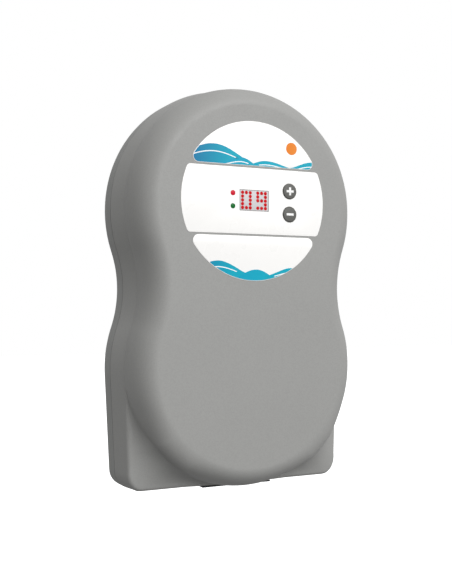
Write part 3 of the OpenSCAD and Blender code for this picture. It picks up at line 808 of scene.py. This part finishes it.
def badge_outline(sign, grow=0.0):
    """The upper or lower badge: the rest of the circle above or below the strip."""
    corner = BADGE_CORNER
    r, low = PANEL_R + grow, STRIP_HALF + PANEL_GAP - grow
    a = slice_turn(r, corner, low + corner)
    cx, cy = (r - corner) * math.cos(a), low + corner
    side = arc((cx, cy), corner, -math.pi / 2, a, 10, False)
    side += arc((0, 0), r, a, math.pi / 2, 48)
    whole = side + [(-x, y) for x, y in reversed(side[:-1])]
    return [(x, sign * y + PANEL_Y) for x, y in (whole if sign > 0 else reversed(whole))]


def strip_holes(window, key, lamp, z0, z1, corner=0.0):
    """Tools for the window, the keys and the lamps, each made larger by its own gap."""
    tools = [prism(rectangle(WINDOW_AT, grown(WINDOW, window), corner), z0, z1)]
    tools += [prism(circle((KEY_X, PANEL_Y + s * KEY_Y), KEY_R + key), z0, z1) for s in (-1, 1)]
    return tools + [prism(circle((x, PANEL_Y + y), LAMP_R + lamp, 32), z0, z1) for x, y in LAMPS.values()]


# --- Front cover ------------------------------------------------------------------------------
RECESS_GAP = 0.06


def make_cover():
    """Hollow moulded cover with its panel recesses and openings."""
    outer = [cover_section(ray, 0.0) for ray in RAYS]
    inner = [cover_section(ray, WALL) for ray in RAYS]
    m = len(outer[0])
    rings = [[at_ray(ray, s[j][0], s[j][1]) for ray, s in zip(RAYS, outer)] for j in range(m)]
    rings += [[at_ray(ray, s[j][0], s[j][1]) for ray, s in zip(RAYS, inner)] for j in reversed(range(m))]
    ob = skin_solid("cover_shell", rings)
    recesses = (strip_outline(RECESS_GAP), badge_outline(1, RECESS_GAP), badge_outline(-1, RECESS_GAP))
    tools = [prism(outline, PANEL_FLOOR, FRONT_Z + 2) for outline in recesses]
    tools += strip_holes(0.4, 0.3, 0.2, HOLE_Z, FRONT_Z)
    tools += [prism(rectangle((0, BOTTOM_Y), (2 * PLATE_HALF + 1, NOTCH_H)), RIM_Z - 1, NOTCH_TOP)]
    boolean(ob, tools, "DIFFERENCE")
    finish_shell(ob, case_plastic, "cover", "front_cover")


RIM_CUT = 0.4
BORE_CUT = 0.3
BOSS_N = 40


def tube(at, r, bore, z0, z1, depth):
    """Round boss of the cover, with chamfers and a blind bore at its z0 end."""
    return turned([(bore, z0 + depth), (bore, z0 + BORE_CUT), (bore + BORE_CUT, z0), (r - RIM_CUT, z0),
                   (r, z0 + RIM_CUT), (r, z1)], at, BOSS_N)


def rib(at, angle, r0, r1, thick, z0, z1):
    """Upright web from a boss to the side wall."""
    c, s = math.cos(angle), math.sin(angle)
    base = [(r0, -thick / 2), (r1, -thick / 2), (r1, thick / 2), (r0, thick / 2)]
    verts = [(at[0] + x * c - y * s, at[1] + x * s + y * c, z) for z in (z0, z1) for x, y in base]
    faces = [(0, 1, 2, 3), (4, 5, 6, 7), (0, 1, 5, 4), (1, 2, 6, 5), (2, 3, 7, 6), (3, 0, 4, 7)]
    return verts, faces


def make_cover_bosses():
    """Screw bosses and ribs moulded inside the cover."""
    parts = [tube(p, r=4.5, bore=1.8, z0=18.5, z1=53.8, depth=19.5) for p in CASE_SCREWS]
    parts += [tube(p, r=3.2, bore=1.25, z0=47, z1=FRONT_Z - 2, depth=9) for p in DISPLAY_SCREWS]
    for x, y in CASE_SCREWS:
        centre, end = (UPPER_Y, RIB_UPPER_R) if y > 0 else (LOWER_Y, RIB_LOWER_R)
        parts.append(rib((0.0, centre), math.atan2(y - centre, x), RIB_R, end, thick=2.4,
                         z0=TONGUE_Z + 1, z1=RIB_TOP))
    ob = object_from("cover_bosses", *merged(parts), "cover", case_plastic, DETAIL_ANGLE)


# --- Rear housing -----------------------------------------------------------------------------
BACK_R = 3.5
BACK_N = 6
SINK = 0.5
SLOT_Z = 6.0
SCREW_WELL_R = 3.6


def make_rear():
    """Shallow back shell: rounded back edge, rim, tongue, bracket pocket, cable slot and screw wells."""
    def ring(o, z):
        return [at_ray(ray, case_len(ray, o), z) for ray in RAYS]

    rings = [ring(BACK_R * (1 - math.sin(a)), BACK_R * (1 - math.cos(a))) for a in [0.0] + quarter(BACK_N)]
    rings += [ring(0, z) for z in (8.0, SEAM_Z - 0.5)]
    rings += [ring(0.15, SEAM_Z - 0.15), ring(0.5, SEAM_Z), ring(TONGUE_IN, SEAM_Z)]
    inner = TONGUE_IN + TONGUE_T
    rings += [ring(TONGUE_IN, TONGUE_Z - RIM_CUT), ring(TONGUE_IN + RIM_CUT, TONGUE_Z),
              ring(inner - RIM_CUT, TONGUE_Z), ring(inner, TONGUE_Z - RIM_CUT), ring(inner, WALL)]
    ob = skin_solid("rear_shell", rings)
    boolean(ob, [prism(rectangle(POCKET_AT, POCKET_BOX, 2.0), WALL - SINK, POCKET_Z + POCKET_WALL)], "UNION")
    cuts = [prism(rectangle(MOUTH_AT, MOUTH), -1, WALL + SINK),
            prism(rectangle(POCKET_AT, POCKET_ROOM), WALL, POCKET_Z),
            prism(rectangle((0, BOTTOM_Y + WALL), (2 * PLATE_HALF, NOTCH_H)), SLOT_Z, TONGUE_Z + 1)]
    cuts += [prism(circle(p, SCREW_WELL_R, 32), -1, 4) for p in CASE_SCREWS]
    boolean(ob, cuts, "DIFFERENCE")
    finish_shell(ob, rear_plastic, "housing", "rear_housing")


def post(at, r, bore, top, floor, n):
    """Round boss of the rear housing, with chamfers and a blind bore from its top."""
    return turned([(r, WALL - SINK), (r, top - RIM_CUT), (r - RIM_CUT, top), (bore + 0.25, top),
                   (bore, top - BORE_CUT), (bore, floor)], at, n)


def make_rear_bosses():
    """Screw bosses standing on the rear housing's floor."""
    r, bore, root, top = 5.0, 1.7, 3.9, 17.9
    sleeve = [(bore, root), (r, root), (r, top - RIM_CUT), (r - RIM_CUT, top), (bore + BORE_CUT, top),
              (bore, top - BORE_CUT)]
    parts = [turned(sleeve, p, BOSS_N, through=True) for p in CASE_SCREWS]
    parts += [post(p, r=3.5, bore=1.25, top=17.0, floor=7.0, n=32) for p in BOARD_SCREWS]
    parts.append(post(TOROID_AT, r=7.0, bore=3.05, top=8.0, floor=3.6, n=BOSS_N))
    ob = object_from("rear_bosses", *merged(parts), "housing", rear_plastic, DETAIL_ANGLE)


make_cover()
make_cover_bosses()
make_rear()
make_rear_bosses()


# --- Panels, print, window, lamps and keys ----------------------------------------------------
def make_panels():
    """Two badges and the control strip, which has holes for the window, the keys and the lamps."""
    z0, z1 = PANEL_FLOOR + HAIR, PRINT_Z
    for name, sign in (("upper_badge", 1), ("lower_badge", -1)):
        ob = plate(name + "_film", badge_outline(sign), z0, z1, PANEL_EDGE, "cover", panel_film)
        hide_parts(name)
    ob = plate("control_strip_film", strip_outline(), z0, z1, PANEL_EDGE, None, None)
    boolean(ob, strip_holes(0.12, 0.3, 0.06, z0 - 1, z1 + 1, 0.4), "DIFFERENCE")
    shade(ob, SHELL_ANGLE)
    ob.data.materials.clear()
    ob.data.materials.append(panel_film)
    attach(ob, "cover")
    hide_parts("control_strip")


make_panels()
INK_T = 0.05
INK_MARGIN = 0.35


def clipped(shape, convex):
    """Keeps the part of a plan outline inside a convex outline."""
    out = list(shape)
    poly = list(convex)
    area = sum(poly[i - 1][0] * poly[i][1] - poly[i][0] * poly[i - 1][1] for i in range(len(poly)))
    if area < 0:
        poly.reverse()
    for i in range(len(poly)):
        (ax, ay), (bx, by) = poly[i - 1], poly[i]
        if math.hypot(bx - ax, by - ay) < 1e-6:
            continue

        def inside(p):
            return (bx - ax) * (p[1] - ay) - (by - ay) * (p[0] - ax) >= 0

        kept = []
        for j in range(len(out)):
            p, q = out[j - 1], out[j]
            if inside(q) != inside(p):
                d = (q[0] - p[0], q[1] - p[1])
                den = (bx - ax) * d[1] - (by - ay) * d[0]
                t = ((by - ay) * (p[0] - ax) - (bx - ax) * (p[1] - ay)) / den
                kept.append((p[0] + d[0] * t, p[1] + d[1] * t))
            if inside(q):
                kept.append(q)
        out = kept
        if not out:
            return out
    return out


CREST_N = 48


def crest(x0, x1, low, high, lean):
    """A plain swell: a rounded crest between two points, its peak moved by lean."""
    return [(x0 + (x1 - x0) * t, low + high * math.sin(math.pi * t ** lean) ** 1.3)
            for t in (i / CREST_N for i in range(CREST_N + 1))]


def print_shape(name, outline, material, clip, lift=0.0):
    """A thin print on a badge, kept inside the badge's outline. lift lays it over other prints."""
    shape = clipped([(x, y + PANEL_Y) for x, y in outline], inset(clip, INK_MARGIN))
    ob = plate(name, shape, PRINT_Z - HAIR, PRINT_Z + INK_T + lift, 0.02, "cover", material, 1)


LAYER = 0.012
FOAM_DROP = 1.2
FOAM_RISE = 0.68
FOAM_T = 0.65
FOAM_FIRST, FOAM_LAST = 10, 39


def swell(name, clip, x0, x1, base, rise, lean, material, foam=True, lift=0.0):
    """A printed swell of water. With foam, a thin white line follows its crest a little lower down."""
    floor = base - 14.0 if base > 0 else -62.0
    print_shape(name, crest(x0, x1, base, rise, lean) + [(x1, floor), (x0, floor)], material, clip, lift)
    if foam:
        low, high = base - FOAM_DROP, rise * FOAM_RISE
        upper = crest(x0, x1, low, high, lean)[FOAM_FIRST:FOAM_LAST + 1]
        lower = crest(x0, x1, low - FOAM_T, high * 0.99, lean)[FOAM_FIRST + 1:FOAM_LAST]
        edge = [(x, y - 0.0001) for x, y in lower]
        print_shape(name + "_line1", upper + edge[::-1], foam_white, clip, lift + LAYER)


def make_print():
    """Plain printed water and a plain round sun. No lettering and no mark."""
    upper, lower = badge_outline(1), badge_outline(-1)
    bed = STRIP_HALF + PANEL_GAP
    swell("print_swell", upper, -64.0, -2.0, bed + 2.2, 12.0, 1.0, wave_ink)
    swell("print_ripple0", upper, -34.0, 2.0, bed + 0.2, 5.6, 1.5, foam_ink, lift=LAYER)
    swell("print_ripple1", upper, -4.0, 31.0, bed + 0.2, 4.2, 0.75, foam_ink)
    swell("print_ripple2", upper, 24.0, 62.0, bed - 0.2, 6.0, 1.5, wave_ink, lift=2 * LAYER)
    print_shape("print_sun", circle((31.0, 40.5), 4.6, 48), sun_ink, upper)
    swell("print_wave0", lower, -50.0, -6.0, -53.0, 9.0, 0.9, wave_ink)
    swell("print_wave1", lower, -20.0, 18.0, -57.0, 7.0, 1.2, foam_ink, foam=False, lift=LAYER)
    swell("print_wave2", lower, 8.0, 46.0, -54.5, 6.0, 1.3, wave_ink, lift=2 * LAYER)


make_print()
DOT_Z = PRINT_Z + 0.03


def make_window():
    """Grey display window with a thin printed line round it."""
    ob = plate("window_pane", rectangle(WINDOW_AT, WINDOW, 0.35), PANEL_FLOOR + HAIR, PRINT_Z, 0.1, "cover",
               window_film, 2)
    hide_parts("display_window")
    outer = rectangle(WINDOW_AT, grown(WINDOW, -0.1), 0.3)
    inner = rectangle(WINDOW_AT, grown(WINDOW, -0.8), 0.2)
    n = len(outer)
    verts = [(x, y, z) for z in (PRINT_Z - 0.01, DOT_Z) for pts in (outer, inner) for x, y in pts]
    faces = []
    for i in range(n):
        j = (i + 1) % n
        faces += [(2 * n + i, 2 * n + j, 3 * n + j, 3 * n + i), (i, j, n + j, n + i),
                  (i, j, 2 * n + j, 2 * n + i), (n + i, n + j, 3 * n + j, 3 * n + i)]
    border = object_from("window_line", verts, faces, "cover", window_line)


DIGIT_X = (-6.8, 5.7)
DIGIT_Y = PANEL_Y + 0.4
DIGITS = (("111", "101", "101", "101", "111"), ("111", "101", "111", "001", "111"))
DOT_PITCH = (3.15, 2.75)
DOT_R = 1.3
DOT_DOME = 0.07


def make_dots():
    """Domed red dots of the two digits."""
    profile = [(DOT_R, PRINT_Z - HAIR), (DOT_R, DOT_Z)] + rounded(DOT_R, DOT_Z, DOT_R, DOT_DOME, 4, 3)
    parts = [turned(profile, (cx + (col - 1) * DOT_PITCH[0], DIGIT_Y + (2 - row) * DOT_PITCH[1]), 24)
             for digit, cx in zip(DIGITS, DIGIT_X)
             for row, cells in enumerate(digit) for col, on in enumerate(cells) if on == "1"]
    ob = object_from("digit_dots", *merged(parts), "cover", dot_glow, DOME_ANGLE)
    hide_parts("display_dots")


def make_lamps():
    """Round lamps: a flange on two legs, a body and a low dome above the film."""
    flange_r, flange_z, neck_z = LAMP_R + 0.5, 51.0, 52.0
    leg_r, leg_x, leg_z = 0.25, 1.27, 44.0
    dome_z, dome_h = FRONT_Z + 0.05, 0.42
    for name, material, slot in (("red_lamp", red_lens, "lamp_red"), ("green_lamp", green_lens, "lamp_green")):
        x, y = LAMPS[name]
        at = (x, PANEL_Y + y)
        body = [(flange_r, flange_z), (flange_r, neck_z), (LAMP_R, neck_z + 0.01), (LAMP_R, dome_z)]
        body += rounded(LAMP_R, dome_z, LAMP_R, dome_h, 6, 5)
        legs = [turned([(leg_r, leg_z), (leg_r, flange_z + 0.2)], (at[0], at[1] + s * leg_x), 12)
                for s in (-1, 1)]
        ob = object_from(name + "_lens", *merged([turned(body, at, 40)] + legs), "cover", material, DOME_ANGLE)
        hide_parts(name)


def make_keys():
    """Round keys on stems, with a flange behind the film, and their raised white signs."""
    top = PRINT_Z + 0.9
    stem_r, stem_z, flange_r, flange_z, flange_top, edge = 2.0, 53.2, KEY_R + 1.2, 57.5, 58.7, 0.7
    profile = [(stem_r, stem_z), (stem_r, flange_z), (flange_r, flange_z + 0.01), (flange_r, flange_top - 0.1),
               (flange_r - 0.1, flange_top), (KEY_R, flange_top + 0.01), (KEY_R, top - edge)]
    profile += rounded(KEY_R, top - edge, edge, edge, 6)
    arm, half = 3.0, 0.85
    for name, sign in (("plus", 1), ("minus", -1)):
        at = (KEY_X, PANEL_Y + sign * KEY_Y)
        ob = object_from(name + "_cap", *turned(profile, at, 64), name, key_plastic, DETAIL_ANGLE)
        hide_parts(name + "_key")
        if sign > 0:
            shape = [(half, half), (half, arm), (-half, arm), (-half, half), (-arm, half), (-arm, -half),
                     (-half, -half), (-half, -arm), (half, -arm), (half, -half), (arm, -half), (arm, half)]
        else:
            shape = [(arm, half), (-arm, half), (-arm, -half), (arm, -half)]
        mark = plate(name + "_mark", [(at[0] + x, at[1] + y) for x, y in shape], top - HAIR, top + 0.1, 0.04,
                     name, sign_paint, 2)
        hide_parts(name + "_sign")


make_window()
make_dots()
make_lamps()
make_keys()


# --- Stage and light, in metres ---------------------------------------------------------------
FLOOR_BELOW = 0.25
FLOOR_HALF = 6.0
SKY_TOWARDS = (0.28, 0.17, 0.94)
SKY_LEVELS = (0.21, 0.745)
KEY_LIGHT_AT = (0.9, -3.7, 2.2)
KEY_LIGHT_SIZE = 3.4
KEY_LIGHT_POWER = 164.0


def pale_stage():
    """Pale floor below the hung box. It doesn't throw light back up, as a distant studio floor doesn't."""
    floor_z = cad_box[0][2] - FLOOR_BELOW
    mesh = bpy.data.meshes.new("floor")
    mesh.from_pydata([(sx * FLOOR_HALF, sy * FLOOR_HALF, floor_z) for sx, sy in SQUARE], [], [(0, 1, 2, 3)])
    floor = bpy.data.objects.new("floor", mesh)
    bpy.context.scene.collection.objects.link(floor)
    m = Mat("floor_paint")
    tone = m.ramp(m.noise(3.0, 2.0), [(0.3, (0.95, 0.95, 0.95, 1)), (0.7, (0.98, 0.98, 0.98, 1))])
    m.link(tone, m.shader.inputs["Base Color"])
    m.link(tone, m.shader.inputs["Emission Color"])
    m.set(Roughness=0.9, Emission_Strength=0.7)
    floor.data.materials.append(m.material)
    floor.visible_diffuse = False
    floor.visible_glossy = False


def key_light():
    """One broad square light at the upper right front, aimed at the case."""
    data = bpy.data.lights.new("key", "AREA")
    data.shape = "SQUARE"
    data.size = KEY_LIGHT_SIZE
    data.energy = KEY_LIGHT_POWER
    ob = bpy.data.objects.new("key", data)
    bpy.context.scene.collection.objects.link(ob)
    ob.location = KEY_LIGHT_AT
    ob.rotation_euler = (-Vector(KEY_LIGHT_AT)).to_track_quat("-Z", "Y").to_euler()


def surroundings():
    """Surroundings that the camera sees as white and that light the case more from above than from below."""
    world = bpy.data.worlds.new("studio")
    bpy.context.scene.world = world
    world.use_nodes = True
    tree = world.node_tree
    coords = tree.nodes.new("ShaderNodeTexCoord")
    side = tree.nodes.new("ShaderNodeVectorMath")
    side.operation = "DOT_PRODUCT"
    side.inputs[1].default_value = Vector(SKY_TOWARDS).normalized()
    tree.links.new(coords.outputs["Generated"], side.inputs[0])
    level = tree.nodes.new("ShaderNodeMapRange")
    level.inputs["From Min"].default_value = -1.0
    level.inputs["From Max"].default_value = 1.0
    level.inputs["To Min"].default_value, level.inputs["To Max"].default_value = SKY_LEVELS
    tree.links.new(side.outputs["Value"], level.inputs["Value"])
    seen = tree.nodes.new("ShaderNodeLightPath")
    pick = tree.nodes.new("ShaderNodeMix")
    pick.data_type = "FLOAT"
    pick.inputs["B"].default_value = 1.0
    tree.links.new(seen.outputs["Is Camera Ray"], pick.inputs["Factor"])
    tree.links.new(level.outputs["Result"], pick.inputs["A"])
    background = tree.nodes["Background"]
    background.inputs["Color"].default_value = (1.0, 1.0, 1.0, 1.0)
    tree.links.new(pick.outputs["Result"], background.inputs["Strength"])


pale_stage()
surroundings()
key_light()
bpy.context.scene.view_settings.view_transform = "Standard"
